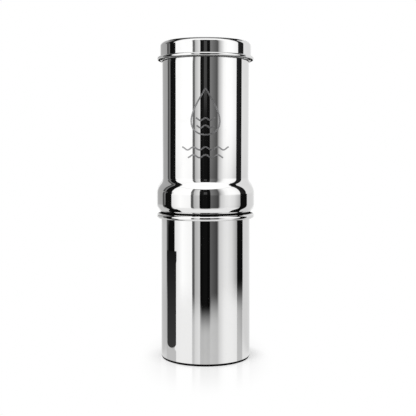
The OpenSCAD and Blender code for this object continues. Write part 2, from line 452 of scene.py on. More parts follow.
def makeDarkRing(name, s):
    inner, outer = [
        [(*radius * unit(360 * turn / ringTurns), s["height"]) for turn in range(ringTurns)]
        for radius in (s["inside"], s["outside"])
    ]
    faces = [(inner[turn - 1], outer[turn - 1], outer[turn], inner[turn]) for turn in range(ringTurns)]
    return makeDarkStage(name, faces, s["tone"])


def makeUnderFlags():
    s = underFlag
    near, far = s["nearRadius"], s["farRadius"]
    corners = (near, s["nearFrom"]), (near, s["nearTo"]), (far, s["farTo"]), (far, s["farFrom"])
    faces = [
        [(*radius * unit(side * turn - 90), s["height"]) for radius, turn in corners] for side in (1, -1)
    ]
    makeDarkStage("underFlags", faces, s["tone"])


floor = dict(
    radius=3000, segments=96,
    shadowShare=0.46,     # share of the floor that takes light, for the camera
    shadowFrom=50, shadowReach=73,              # beyond this it is as white as the backdrop
    sheen=0.14,           # and how much it mirrors the object, close to the base
    sheenFrom=55, sheenReach=170, sheenNarrower=2.1,
    glow=1.05, paper=0.98,                      # what the steel sees of it, and its own white
    roughness=(0.1275, 0.1725), grainScale=0.04, grainDetail=3, ior=2.6,
    # it ends in front between these distances, and further out beside that
    solidTo=190, fadedBy=400, wider=(0.3, 0.35), widerFrom=((8, 15), (30, 36)),
    # a painted contact shadow: a black line where it meets the base, wider in front, and the part of it
    # that the camera sees
    contactTo=51.5, contactBy=54.0, contactForward=5.5, contactTone=0.004,
    lineTo=49.0, lineBy=49.9, lineForward=1.6,
    sideGlow=0.74, sideGlowFrom=(80, 112),      # the floor beside the object is duller
)


def makeFloor():
    s = floor
    build = bmesh.new()
    bmesh.ops.create_circle(build, cap_ends=True, segments=s["segments"], radius=s["radius"] * mm)
    graph = newStage("floor", build)[1]
    fade = graph.fade
    place = graph.millimetres()

    def ringLine(forward, by, to):
        # 1 inside a circle that is moved towards the camera
        return fade(graph.length(graph.vector("ADD", place, (0, forward, 0))), by, to)

    # for the steel: it glows with a painted contact shadow round the base, mirrors the panels a little,
    # and ends where the dark studio begins
    turned = abs(graph.azimuth(graph.axes(place)))
    distance = graph.length(place)
    faded = fade(distance / graph.grown(turned, s["wider"], s["widerFrom"]), s["solidTo"], s["fadedBy"])
    # painted contact shadow: in a ring round the base the glow turns black and stops mirroring
    contact = ringLine(s["contactForward"], s["contactBy"], s["contactTo"])
    level = graph.blend(fade(turned, *s["sideGlowFrom"]), 1.0, s["sideGlow"]) * s["glow"]
    paleGlow = graph.glow(graph.tint(contact, level, grey(s["contactTone"])))
    gloss = graph.blend(graph.noise(place, s["grainScale"], s["grainDetail"]), *s["roughness"])
    shine = graph.add("BsdfGlossy", {"Color": grey(1), "Roughness": gloss})
    shineShare = graph.add("Fresnel", {"IOR": s["ior"]}) * (1.0 - contact)
    tabletop = graph.mix(shineShare, paleGlow, shine)
    mirrored = graph.mix(faded, tabletop, graph.add("BsdfTransparent"))
    # for the camera: white, with the object's shadow, a faint image of it near the base and a painted
    # contact shadow line
    paper = graph.add("BsdfDiffuse", {"Color": grey(s["paper"])})
    lightShare = fade(distance, s["shadowReach"], s["shadowFrom"]) * s["shadowShare"]
    shaded = graph.mix(lightShare, graph.glow(grey(1)), paper)
    inFront = graph.length(graph.vector("MULTIPLY", place, (s["sheenNarrower"], 1, 1)))
    mirroring = graph.mix(fade(inFront, s["sheenReach"], s["sheenFrom"]) * s["sheen"], shaded, shine)
    # painted contact shadow line under the base's edge, for the camera
    line = ringLine(s["lineForward"], s["lineBy"], s["lineTo"])
    forCamera = graph.mix(line, mirroring, graph.glow(grey(s["contactTone"])))
    rays = graph.add("LightPath")
    indirect = graph.mix(graph.mirrorRays(rays), paper, mirrored)
    graph.add("OutputMaterial", {"Surface": graph.mix(rays["Is Camera Ray"], indirect, forCamera)})


makeWorld()
makeKeyLight()
makeFloor()
makeCards()
makeUnderFlags()
# painted shade: black rings in the seat and under the lid's bead, seen only in reflections
makeDarkRing("seatShadeRing", seatShadeRing)
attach(makeDarkRing("beadShadeRing", beadShadeRing), "lid")
print("studio ready")


spinNoise = dict(
    headingReach=1.6, ringDetail=4.0, ringRoughness=0.6, waveDetail=1.0, waveRoughness=0.3,
    smearDetail=5.0, smearRoughness=0.55, smearDistortion=0.8, smearFrom=0.5, smearBy=0.74,
)


def makeSpinMarks():
    # rings left by turning and polishing, slow waves of the sheet, and smears from hands
    s = spinNoise
    inputs = {"ringPitch": 0.7, "waveLength": 38.0, "smearSize": 16.0}
    graph, given = newGroup("spinMarks", "ShaderNodeTree", inputs, ("Rings", "Waves", "Smears"))
    place = graph.millimetres()
    axes = graph.axes(place)
    flat = graph.xyz(X=axes["X"], Y=axes["Y"])
    heading = graph.axes(graph.vector("NORMALIZE", flat))
    pitch = given["ringPitch"]
    spun = graph.xyz(X=graph.length(flat) / pitch, Y=axes["Z"] / pitch, Z=heading["X"] * s["headingReach"])
    rings = graph.add("TexNoise", {
        "Vector": spun, "W": heading["Y"] * s["headingReach"],
        "Scale": 1.0, "Detail": s["ringDetail"], "Roughness": s["ringRoughness"],
    }, noise_dimensions="4D")
    waves = graph.noise(place, 1.0 / given["waveLength"], s["waveDetail"], Roughness=s["waveRoughness"])
    smears = graph.noise(place, 1.0 / given["smearSize"], s["smearDetail"],
                         Roughness=s["smearRoughness"], Distortion=s["smearDistortion"])
    graph.add("NodeGroupOutput", {
        "Rings": rings, "Waves": waves, "Smears": graph.fade(smears, s["smearFrom"], s["smearBy"]),
    })
    return graph.tree


def makeGrain():
    # fine grain over slow mottling, for moulded, cast and pressed surfaces
    inputs = {"grainSize": 0.4, "mottleSize": 9.0, "poreShare": 0.3}
    graph, given = newGroup("fineGrain", "ShaderNodeTree", inputs, ("Grain", "Mottle", "Pores"))
    place = graph.millimetres()
    fine = 1.0 / given["grainSize"]
    cells = graph.add("TexVoronoi", {"Vector": place, "Scale": fine})
    graph.add("NodeGroupOutput", {
        "Grain": graph.noise(place, fine, 4.0),
        "Mottle": graph.noise(place, 1.0 / given["mottleSize"], 3.0),
        "Pores": cells < given["poreShare"],
    })
    return graph.tree


spinMarks = makeSpinMarks()
fineGrain = makeGrain()


def newFinish(name, group, look, metallic):
    # the group's sockets have the names of settings in the look
    finish = bpy.data.materials.new(name)
    finish.use_nodes = True
    graph = Graph(finish.node_tree)
    sockets = [socket.name for socket in group.interface.items_tree if socket.in_out == "INPUT"]
    given = {name: look[name] for name in sockets}
    marks = graph.add("Group", given, node_tree=group)
    sockets = graph.tree.nodes["Principled BSDF"].inputs
    sockets["Metallic"].default_value = metallic
    for label, value in look.get("extras", {}).items():
        sockets[label].default_value = value
    return finish, graph, marks


def finishSurface(graph, tint, gloss, height):
    bump = graph.add("Bump", {"Height": height, "Strength": 1.0, "Distance": mm})
    sockets = graph.tree.nodes["Principled BSDF"].inputs
    for label, value in (("Base Color", tint), ("Roughness", gloss), ("Normal", bump)):
        graph.feed(sockets[label], value)


def makeSteel(name, look):
    finish, graph, marks = newFinish(name, spinMarks, look, 1.0)
    rings, smears = marks["Rings"], marks["Smears"]
    tint = graph.tint(smears, opaque(look["tone"]), opaque(look["smearTone"]))
    gloss = smears * look["smearRoughness"] + rings * look["ringRoughness"] + look["roughness"]
    height = rings * look["ringDepth"] + marks["Waves"] * look["waveDepth"]
    finishSurface(graph, tint, gloss, height)
    return finish


polishedSteel = makeSteel("polishedSteel", dict(
    tone=(0.705, 0.704, 0.701), smearTone=(0.690, 0.689, 0.686), roughness=0.022,
    ringPitch=0.9, ringRoughness=0.02, ringDepth=0.00006,
    waveLength=34, waveDepth=0.0018, smearSize=17, smearRoughness=0.03,
))
satinSteel = makeSteel("satinSteel", dict(
    tone=(0.80, 0.805, 0.815), smearTone=(0.78, 0.785, 0.79), roughness=0.19,
    ringPitch=0.5, ringRoughness=0.12, ringDepth=0.0008,
    waveLength=30, waveDepth=0.006, smearSize=20, smearRoughness=0.05,
))
print("steel ready")


def makeGrained(name, look):
    look = dict(dict(poreTone=None, poreShare=0.1, poreDepth=0, metallic=0.0), **look)
    finish, graph, marks = newFinish(name, fineGrain, look, look["metallic"])
    tint = graph.tint(marks["Mottle"], opaque(look["tone"]), opaque(look["mottleTone"]))
    if look["poreTone"]:
        tint = graph.tint(marks["Pores"], tint, opaque(look["poreTone"]))
    gloss = marks["Grain"] * look["grainRoughness"] + look["roughness"]
    height = marks["Grain"] * look["grainDepth"] - marks["Pores"] * look["poreDepth"]
    finishSurface(graph, tint, gloss, height)
    return finish


grainedLooks = dict(
    filterCeramic=dict(
        tone=(0.935, 0.915, 0.865), mottleTone=(0.905, 0.88, 0.825), poreTone=(0.80, 0.77, 0.70),
        grainSize=0.35, mottleSize=14, poreShare=0.16, poreDepth=0.03,
        roughness=0.78, grainRoughness=0.18, grainDepth=0.035,
    ),
    whitePlastic=dict(
        tone=(0.925, 0.925, 0.915), mottleTone=(0.90, 0.90, 0.885), grainSize=0.25, mottleSize=12,
        roughness=0.30, grainRoughness=0.16, grainDepth=0.006,
    ),
    capPlastic=dict(
        tone=(0.85, 0.86, 0.86), mottleTone=(0.82, 0.83, 0.83), grainSize=0.3, mottleSize=8,
        roughness=0.42, grainRoughness=0.2, grainDepth=0.01,
    ),
    nylon=dict(
        tone=(0.90, 0.895, 0.87), mottleTone=(0.88, 0.87, 0.84), grainSize=0.2, mottleSize=6,
        roughness=0.46, grainRoughness=0.12, grainDepth=0.008,
    ),
    silicone=dict(
        tone=(0.115, 0.115, 0.12), mottleTone=(0.14, 0.14, 0.143), grainSize=0.22, mottleSize=5,
        roughness=0.55, grainRoughness=0.2, grainDepth=0.01,
    ),
    adhesive=dict(
        tone=(0.88, 0.86, 0.76), mottleTone=(0.84, 0.81, 0.69), poreTone=(0.74, 0.70, 0.57),
        grainSize=1.1, mottleSize=4, poreShare=0.13, poreDepth=0.06,
        roughness=0.28, grainRoughness=0.2, grainDepth=0.05,
        extras={"Coat Weight": 0.3, "Coat Roughness": 0.25},
    ),
    carbon=dict(
        tone=(0.040, 0.040, 0.043), mottleTone=(0.085, 0.085, 0.088), poreTone=(0.010, 0.010, 0.011),
        grainSize=0.85, mottleSize=5, poreShare=0.30, poreDepth=0.16,
        roughness=0.50, grainRoughness=0.40, grainDepth=0.22,
    ),
    felt=dict(
        tone=(0.83, 0.83, 0.79), mottleTone=(0.76, 0.76, 0.715), poreTone=(0.67, 0.67, 0.62),
        grainSize=0.28, mottleSize=3, poreShare=0.2, poreDepth=0.08,
        roughness=0.9, grainRoughness=0.1, grainDepth=0.16,
        extras={"Sheen Weight": 0.35, "Sheen Roughness": 0.5},
    ),
    # blasted steel, matt against the polished wall
    frostedSteel=dict(
        metallic=1.0, tone=(0.37, 0.37, 0.375), mottleTone=(0.32, 0.32, 0.325),
        grainSize=0.16, mottleSize=3,
        roughness=0.38, grainRoughness=0.15, grainDepth=0.012,
    ),
    gauzeSteel=dict(
        metallic=1.0, tone=(0.62, 0.63, 0.65), mottleTone=(0.54, 0.55, 0.57),
        grainSize=0.1, mottleSize=1.5,
        roughness=0.22, grainRoughness=0.15, grainDepth=0.004,
    ),
)
finishes = {name: makeGrained(name, look) for name, look in grainedLooks.items()}
print("plastics, ceramic, fibres and blasted steel ready")


# Profiles are lists of points, each with the direction of the side on its right.
bends = dict(tightRadius=3.2, tightStep=4, wideStep=4, edgeTurns=6, easeStep=0.76, easeParts=10)


def turnsOf(radius, angle):
    step = bends["tightStep"] if radius < bends["tightRadius"] else bends["wideStep"]
    return max(2, math.ceil(abs(angle) / step))


def bend(centre, radius, start, end):
    turns = turnsOf(radius, end - start)
    side = 1 if end > start else -1
    angles = [start + (end - start) * turn / turns for turn in range(turns + 1)]
    return [(centre + radius * unit(angle), side * unit(angle)) for angle in angles]


def crossing(first, firstRadius, second, secondRadius, side):
    # where a straight run leaves one bend for a bend that turns the other way
    span = second - first
    lean = math.acos(min(1, (firstRadius + secondRadius) / span.length))
    return angleOf(span) + math.degrees(side * lean)


def stepAngle(drop, radius):
    return math.degrees(math.acos(1 - drop / (2 * radius)))


def stepReach(drop, radius):
    return 2 * radius * math.sin(math.radians(stepAngle(drop, radius)))


def pressedStep(point, drop, radius, heading):
    # a step down, for a profile that runs outwards (1) or inwards (-1)
    turn = heading * stepAngle(drop, radius)
    foot = point + Vector((heading * stepReach(drop, radius), radius - drop))
    fall = bend(point - Vector((0, radius)), radius, 90, 90 - turn)
    return fall + bend(foot, radius, 270 - turn, 270)[1:]


def edgeRound(middle, side, half):
    # the trimmed edge of a sheet, from its right face round to its left
    turns = bends["edgeTurns"]
    sides = [unit(angleOf(side) + 180 * turn / turns) for turn in range(1, turns)]
    return [(middle + half * side, side, 0) for side in sides]


def sheetOutline(path, thickness, rolled=range(0)):
    # the section of a sheet that follows a path: a loop, or a line between two poles.
    # rolled counts off the points at its edge, where the inside is polished as well
    half = thickness / 2
    right = [(point + half * side, side, 0) for point, side in path]
    left = []
    for index, (point, side) in enumerate(path):
        left.append((point - half * side, -side, int(index not in rolled)))
    left.reverse()
    (startPoint, startSide), (endPoint, endSide) = path[0], path[-1]
    startOpen = startPoint.x > 0
    endOpen = endPoint.x > 0
    startCap = edgeRound(startPoint, -startSide, half) if startOpen else []
    endCap = edgeRound(endPoint, endSide, half) if endOpen else []
    if startOpen and not endOpen:
        return left + startCap + right, False
    return right + endCap + left + startCap, startOpen


def softened(path, reach):
    # eases a path's bends into its straight runs, over a reach along it
    lengths = [0]
    for (before, _), (after, _) in zip(path, path[1:]):
        lengths.append(lengths[-1] + (after - before).length)
    angles = [angleOf(side) for point, side in path]
    count = round(lengths[-1] / bends["easeStep"])
    step = lengths[-1] / count

    def angleAt(place):
        place = max(0, min(lengths[-1], place))
        index = max(1, next(index for index, length in enumerate(lengths) if length >= place))
        share = (place - lengths[index - 1]) / max(1e-9, lengths[index] - lengths[index - 1])
        return angles[index - 1] + (angles[index] - angles[index - 1]) * share

    parts = bends["easeParts"]
    spread = [reach * (part / parts - 0.5) for part in range(parts + 1)]
    eased = []
    for index in range(count + 1):
        eased.append(sum(angleAt(index * step + shift) for shift in spread) / len(spread))
    points = [path[0][0].copy()]
    for before, after in zip(eased, eased[1:]):
        side = unit((before + after) / 2)
        points.append(points[-1] + step * Vector((-side.y, side.x)))
    slip = path[-1][0] - points[-1]
    shares = [index / count for index in range(count + 1)]
    return [(point + slip * share, unit(angle)) for point, share, angle in zip(points, shares, eased)]


def roundedOutline(corners, closed=True):
    # corners run counterclockwise: (distance from the axis, height, radius)
    outline = []
    last = len(corners) - 1
    for index, (x, z, radius) in enumerate(corners):
        here = Vector((x, z))
        if not closed and index in (0, last):
            near = Vector(corners[1 if index == 0 else last - 1][:2])
            along = (near - here if index == 0 else here - near).normalized()
            outline.append((here, Vector((along.y, -along.x)), 0))
            continue
        back = (Vector(corners[index - 1][:2]) - here).normalized()
        ahead = (Vector(corners[0 if index == last else index + 1][:2]) - here).normalized()
        turn = 1 if back.x * ahead.y - back.y * ahead.x < 0 else -1
        angle = back.angle(ahead)
        centre = here + (back + ahead).normalized() * radius / math.sin(angle / 2)
        start = angleOf(Vector((-back.y, back.x)))
        sweep = turn * (180 - math.degrees(angle))
        turns = turnsOf(radius, sweep)
        for count in range(turns + 1):
            side = unit(start + sweep * count / turns)
            outline.append((centre + turn * radius * side, side, 0))
    return outline, closed


def newShapeTree(name, inputs):
    return newGroup(name, "GeometryNodeTree", dict(inputs, Finish=None))


def endTree(graph, given, result):
    # every tree ends in plain geometry with its finish on it
    real = graph.geo("RealizeInstances", {"Geometry": result})
    smooth = graph.geo("SetShadeSmooth", {0: real})
    dressed = graph.geo("SetMaterial", {"Geometry": smooth, "Material": given["Finish"]})
    graph.add("NodeGroupOutput", {"Geometry": dressed})
    return graph.tree


def curveCircle(graph, resolution, radius):
    return graph.geo("CurvePrimitiveCircle", {"Resolution": resolution, "Radius": radius}, mode="RADIUS")


def makeSpinTree():
    # turns an outline, drawn at the spin radius, once round the axis
    graph, given = newShapeTree("spinOutline", {
        "Segments": 192, "Spin Radius": 0.05, "Inner Finish": None,
    })
    outline = graph.geo("MeshToCurve", {"Mesh": given["Geometry"]})
    circle = curveCircle(graph, given["Segments"], given["Spin Radius"])
    turned = graph.geo("CurveToMesh", {"Curve": circle, "Profile Curve": outline})
    merged = graph.geo("MergeByDistance", {"Geometry": turned, "Distance": weld * mm})
    smooth = graph.geo("SetShadeSmooth", {0: merged})
    outside = graph.geo("SetMaterial", {"Geometry": smooth, "Material": given["Finish"]})
    inner = graph.geo("InputNamedAttribute", {"Name": "inner"}, data_type="FLOAT")
    both = graph.geo("SetMaterial", {
        "Geometry": outside, "Selection": inner > 0.5, "Material": given["Inner Finish"],
    })
    real = graph.geo("RealizeInstances", {"Geometry": both})
    graph.add("NodeGroupOutput", {"Geometry": real})
    return graph.tree


spinTree = makeSpinTree()


def faceOutwards(solid):
    build = bmesh.new()
    build.from_mesh(solid)
    if build.calc_volume(signed=True) < 0:
        bmesh.ops.reverse_faces(build, faces=build.faces)
        build.to_mesh(solid)
    build.free()


def applyModifiers(piece):
    # keeps the result as a plain mesh
    depsgraph = bpy.context.evaluated_depsgraph_get()
    solid = bpy.data.meshes.new_from_object(piece.evaluated_get(depsgraph))
    piece.modifiers.clear()
    piece.data = solid
    faceOutwards(solid)
    return solid


def bakePiece(piece, tree, values, sharpOver=None):
    step = piece.modifiers.new(tree.name, "NODES")
    step.node_group = tree
    for item in tree.interface.items_tree:
        if item.in_out == "INPUT" and item.name in values:
            step[item.identifier] = values[item.name]
    solid = applyModifiers(piece)
    if sharpOver:
        solid.set_sharp_from_angle(angle=math.radians(sharpOver))
    return piece


def newPiece(name, points=(), edges=()):
    wire = bpy.data.meshes.new(name)
    wire.from_pydata(points, edges, [])
    return addObject(name, wire)


# The segments go round the steel shells, the candle's pieces, the fittings and the screen.
spin = dict(radius=50, segments=288, candleSegments=144, fittingSegments=96, screenSegments=72)


def spinPiece(name, section, finish, segments, innerFinish=None):
    outline, closed = section
    outline = outline[::-1]
    radius = spin["radius"] * mm
    points = [(point.x * mm - radius, -point.y * mm, 0) for point, side, inner in outline]
    edges = [(index, index + 1) for index in range(len(points) - 1)]
    if closed:
        edges.append((len(points) - 1, 0))
    piece = newPiece(name, points, edges)
    marks = dict(
        faceOut=[side.x for point, side, inner in outline],
        faceUp=[side.y for point, side, inner in outline],
        inner=[float(inner) for point, side, inner in outline],
    )
    for label, values in marks.items():
        piece.data.attributes.new(label, "FLOAT", "POINT").data.foreach_set("value", values)
    bakePiece(piece, spinTree, {
        "Segments": segments, "Spin Radius": radius,
        "Finish": finish, "Inner Finish": innerFinish or finish,
    })
    # the outline's own directions keep long polished walls true up to their bends
    solid = piece.data
    out, up = [[item.value for item in solid.attributes[label].data] for label in ("faceOut", "faceUp")]
    normals = []
    for vertex in solid.vertices:
        radial = Vector((vertex.co.x, vertex.co.y, 0))
        radial = radial.normalized() if radial.length > 1e-6 else Vector((0, 0, 0))
        normals.append((radial * out[vertex.index] + Vector((0, 0, up[vertex.index]))).normalized())
    solid.normals_split_custom_set_from_vertices(normals)
    for label in marks:
        solid.attributes.remove(solid.attributes[label])
    return piece


def dress(piece, body, slotName, *nodes):
    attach(piece, body)
    if nodes:
        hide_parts(*nodes)


def cadSize(node):
    low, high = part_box(node)
    return low / mm, high / mm


def makeSheetSteel(name, path, rolled, node):
    section = sheetOutline(path, shells["sheet"], rolled)
    piece = spinPiece(name, section, polishedSteel, spin["segments"], satinSteel)
    dress(piece, node, "polished_steel", node)


# what the three steel shells share
shells = dict(sheet=0.7, curlEnd=118, pressRadius=1.0)
sheet = shells["sheet"]
half = sheet / 2
press = shells["pressRadius"] + half

lowerChamber = dict(rimDiameter=5.7, baseRadius=2.2, footWidth=5.5, recess=1.2)


def makeLowerChamber():
    s = lowerChamber
    high = cadSize("lower_chamber")[1]
    rim = s["rimDiameter"] / 2
    wall = high.x - s["rimDiameter"] + sheet
    rimCentre = Vector((wall - sheet + rim, high.z - rim))
    base, floorLine = s["baseRadius"], s["recess"] + half
    foot = wall - base - s["footWidth"] - stepReach(s["recess"], press)
    path = [(Vector((0, floorLine)), Vector((0, -1)))]
    path += pressedStep(Vector((foot, floorLine)), s["recess"], press, 1)
    path += bend(Vector((wall - base, base)), base - half, 270, 360)
    wallEnd = len(path)
    path += bend(rimCentre, rim - half, 180, -shells["curlEnd"])
    makeSheetSteel("lowerChamberShell", path, range(wallEnd, len(path)), "lower_chamber")
    return dict(wall=wall, rim=rim, rimCentre=rimCentre)


lower = makeLowerChamber()
print("lower chamber ready")


upperChamber = dict(
    seatGap=0.3, holeRadius=5.5, floorRadius=4, curlHeight=10.3, curlRadius=8,
    bandHeight=12.5, bellyRadius=17, shoulderHeight=17.4, coveRadius=9.3, wallInset=1.4, draft=0.8,
    hemDiameter=1.9, hemOut=0.9, hemSet=3, hemEnd=-50, bellyEase=2,
)


def makeUpperChamber():
    s = upperChamber
    low, high = cadSize("upper_chamber")
    neck = lower["wall"] - sheet - s["seatGap"]
    band = lower["rimCentre"].y + lower["rim"] + s["curlHeight"]
    shoulder = band + s["bandHeight"]
    wallFoot = shoulder + s["shoulderHeight"]
    wall = lower["wall"] - s["wallInset"]
    top = wall + s["draft"]
    hug = lower["rim"] + s["seatGap"] + half
    curl = Vector((high.x - s["curlRadius"], band))
    shoulderBend = Vector((high.x - s["bellyRadius"], shoulder))
    cove = Vector((wall + s["coveRadius"], wallFoot))
    curlLine, shoulderLine = s["curlRadius"] - half, s["bellyRadius"] - half
    coveLine = s["coveRadius"] + half
    under = crossing(curl, curlLine, lower["rimCentre"], hug, 1)
    over = crossing(shoulderBend, shoulderLine, cove, coveLine, -1)
    # the rim is set in a little and then rolled outwards over itself
    hem = s["hemDiameter"] / 2
    hemCentre = Vector((top + s["hemOut"] - hem, high.z - hem))
    roll = hem - half
    reach = s["hemSet"] + hemCentre.x - (top - half)
    rise = math.sqrt((s["hemSet"] + roll) ** 2 - reach ** 2)
    setCentre = Vector((top - half - s["hemSet"], hemCentre.y - rise))
    lean = angleOf(Vector((reach, rise)))
    floorRadius = s["floorRadius"]
    path = [(Vector((s["holeRadius"] + half, low.z + half)), Vector((0, -1)))]
    path += bend(Vector((neck - floorRadius, low.z + floorRadius)), floorRadius - half, 270, 360)
    path += bend(lower["rimCentre"], hug, 180, under + 180)
    belly = bend(curl, curlLine, under, 0) + bend(shoulderBend, shoulderLine, 0, over)
    belly += bend(cove, coveLine, over + 180, 180)
    belly.append((Vector((wall - half, wallFoot + s["bellyEase"])), Vector((1, 0))))
    path += softened(path[-1:] + belly, s["bellyEase"])
    wallEnd = len(path)
    path += bend(setCentre, s["hemSet"], 0, lean)
    path += bend(hemCentre, roll, 180 + lean, s["hemEnd"])
    makeSheetSteel("upperChamberShell", path, range(wallEnd, len(path)), "upper_chamber")
    return dict(wallFoot=wallFoot, wallTop=setCentre.y, wall=wall, top=top)


upper = makeUpperChamber()
print("upper chamber ready")


lid = dict(cornerRadius=5, beadDiameter=4.1, panelDiameter=76, panelDrop=0.8)


def makeLid():
    s = lid
    low, high = cadSize("lid")
    bead = s["beadDiameter"] / 2
    skirt = high.x - s["beadDiameter"] + sheet
    corner, drop = s["cornerRadius"], s["panelDrop"]
    panel = s["panelDiameter"] / 2 + stepReach(drop, press)
    path = bend(Vector((high.x - bead, low.z + bead)), bead - half, 360 + shells["curlEnd"], 180)
    beadEnd = len(path)
    path += bend(Vector((skirt - corner, high.z - corner)), corner - half, 0, 90)
    path += pressedStep(Vector((panel, high.z - half)), drop, press, -1)
    path.append((Vector((0, high.z - half - drop)), Vector((0, 1))))
    makeSheetSteel("lidShell", path, range(beadEnd), "lid")


makeLid()
print("lid ready")


def makeReliefTree():
    # sweeps a flat drawing into raised lines and wraps it round a tapered wall
    graph, given = newShapeTree("wallRelief", {
        "lineWidth": 0.001, "proud": 0.00005, "sunk": 0.0001,
        "footRadius": 0.05, "topRadius": 0.05, "footHeight": 0.0, "topHeight": 0.1,
    })
    line = graph.geo("MeshToCurve", {"Mesh": given["Geometry"]})
    facing = graph.geo("SetCurveNormal", {"Curve": line, "Normal": (0, -1, 0)}, mode="FREE")
    depth = given["proud"] + given["sunk"]
    bar = graph.geo("CurvePrimitiveQuadrilateral", {
        "Width": depth, "Height": given["lineWidth"],
    }, mode="RECTANGLE")
    offset = graph.xyz(X=(given["proud"] - given["sunk"]) * 0.5)
    moved = graph.geo("Transform", {"Geometry": bar, "Translation": offset})
    swept = graph.geo("CurveToMesh", {"Curve": facing, "Profile Curve": moved, "Fill Caps": True})
    axes = graph.axes(graph.geo("InputPosition"))
    wall = graph.add("MapRange", {
        "Value": axes["Z"], "From Min": given["footHeight"], "From Max": given["topHeight"],
        "To Min": given["footRadius"], "To Max": given["topRadius"],
    })
    turn = axes["X"] / wall
    reach = wall - axes["Y"]
    aside = reach * graph.math("SINE", turn)
    wrapped = graph.xyz(X=aside, Y=reach * (graph.math("COSINE", turn) * -1), Z=axes["Z"])
    return endTree(graph, given, graph.geo("SetPosition", {"Geometry": swept, "Position": wrapped}))


# The raised motif on the front of the upper chamber is a water drop over ripples.
motif = dict(
    lineWidth=1.7, proud=0.08, sunk=0.1, sharpOver=35,
    dropWidth=32, dropHeight=52, dropCentre=279, dropTaper=1.5, dropTurns=72, dropChecks=200,
    rippleHeights=(238, 229.5), rippleWidths=(54, 40), rippleRise=1.6, rippleLength=13.5,
    levelHeights=(270, 262), levelInset=5, levelRise=1.4, levelLength=11, waveStep=0.9,
)


def dropReach(height):
    # half the drop's width at a height above its foot, as a share of the whole
    s = motif
    angle = math.acos(max(-1, min(1, 2 * height / s["dropHeight"] - 1)))
    return math.sin(angle) * math.sin(angle / 2) ** s["dropTaper"]


def makeMotif():
    s = motif
    tall = s["dropHeight"]
    foot = s["dropCentre"] - tall / 2
    checks = s["dropChecks"]
    halfWidth = s["dropWidth"] / 2 / max(dropReach(tall * step / checks) for step in range(checks + 1))
    points = []
    edges = []

    def addLine(line, closed=False):
        first = len(points)
        points.extend((x * mm, 0, z * mm) for x, z in line)
        edges.extend((index, index + 1) for index in range(first, len(points) - 1))
        if closed:
            edges.append((len(points) - 1, first))

    def addWave(height, width, rise, length):
        steps = max(8, round(width / s["waveStep"]))
        across = [width * (step / steps - 0.5) for step in range(steps + 1)]
        addLine([(x, height + rise * math.cos(2 * math.pi * x / length)) for x in across])

    drop = []
    for turn in range(s["dropTurns"]):
        angle = 2 * math.pi * turn / s["dropTurns"]
        height = tall * (1 + math.cos(angle)) / 2
        side = 1 if angle < math.pi else -1
        drop.append((side * halfWidth * dropReach(height), foot + height))
    addLine(drop, closed=True)
    for height, width in zip(s["rippleHeights"], s["rippleWidths"]):
        addWave(height, width, s["rippleRise"], s["rippleLength"])
    for height in s["levelHeights"]:
        width = 2 * (halfWidth * dropReach(height - foot) - s["levelInset"])
        addWave(height, width, s["levelRise"], s["levelLength"])
    sizes = dict(
        lineWidth=s["lineWidth"], proud=s["proud"], sunk=s["sunk"], footRadius=upper["wall"],
        topRadius=upper["top"], footHeight=upper["wallFoot"], topHeight=upper["wallTop"],
    )
    piece = newPiece("dropMotif", points, edges)
    values = {label: size * mm for label, size in sizes.items()}
    bakePiece(piece, makeReliefTree(), dict(values, Finish=finishes["frostedSteel"]), s["sharpOver"])
    dress(piece, "upper_chamber", "polished_steel")


makeMotif()
print("motif ready")


def makeRoundTree():
    # repeats what it is given round the axis
    graph, given = newShapeTree("repeatRound", {"Count": 6})
    single = graph.geo("GeometryToInstance", {0: given["Geometry"]})
    copies = graph.geo("DuplicateElements", {
        "Geometry": single, "Amount": given["Count"],
    }, domain="INSTANCE")
    spread = graph.xyz(Z=copies["Duplicate Index"] * (2 * math.pi / given["Count"]))
    turned = graph.geo("RotateInstances", {
        "Instances": copies["Geometry"], "Rotation": spread, "Local Space": False,
    })
    return endTree(graph, given, turned)


roundTree = makeRoundTree()


def barPiece(name, low, high, edge, count, finish):
    # a bar with soft edges between two corners, repeated round the axis
    piece = newPiece(name)
    build = bmesh.new()
    bmesh.ops.create_cube(build, size=1)
    for corner in build.verts:
        for axis in range(3):
            corner.co[axis] = (high[axis] if corner.co[axis] > 0 else low[axis]) * mm
    bmesh.ops.bevel(build, geom=build.edges, offset=edge * mm, segments=2, profile=0.5, affect="EDGES")
    keepMesh(build, piece.data)
    return bakePiece(piece, roundTree, {"Count": count, "Finish": finish})


thread = dict(pitch=1.5, fadeTurns=0.5, tipShare=0.05, baseWidth=1.3, crestWidth=0.3, sharpOver=30)


def makeThreadTree():
    # a helical ridge that tapers out at both ends; its section is drawn flat at the thread's radius
    graph, given = newShapeTree("threadRidge", {
        "Pitch": 0.0015, "Turns": 10.0, "Radius": 0.005, "Foot": 0.0,
        "Fade Turns": 0.5, "Tip Share": 0.05, "Steps": 64,
    })
    section = graph.geo("MeshToCurve", {"Mesh": given["Geometry"]})
    helix = graph.geo("CurveSpiral", {
        "Resolution": given["Steps"], "Rotations": given["Turns"], "Start Radius": given["Radius"],
        "End Radius": given["Radius"], "Height": given["Pitch"] * given["Turns"], "Reverse": True,
    })
    upright = graph.geo("SetCurveNormal", {"Curve": helix}, mode="Z_UP")
    along = graph.geo("SplineParameter")
    scale = graph.add("MapRange", {
        "Value": graph.math("MINIMUM", along, 1.0 - along), "From Min": 0.0,
        "From Max": given["Fade Turns"] / given["Turns"], "To Min": given["Tip Share"], "To Max": 1.0,
    })
    ridge = graph.geo("CurveToMesh", {
        "Curve": upright, "Profile Curve": section, "Scale": scale, "Fill Caps": True,
    })
    lift = graph.xyz(Z=given["Foot"])
    return endTree(graph, given, graph.geo("Transform", {"Geometry": ridge, "Translation": lift}))


threadTree = makeThreadTree()


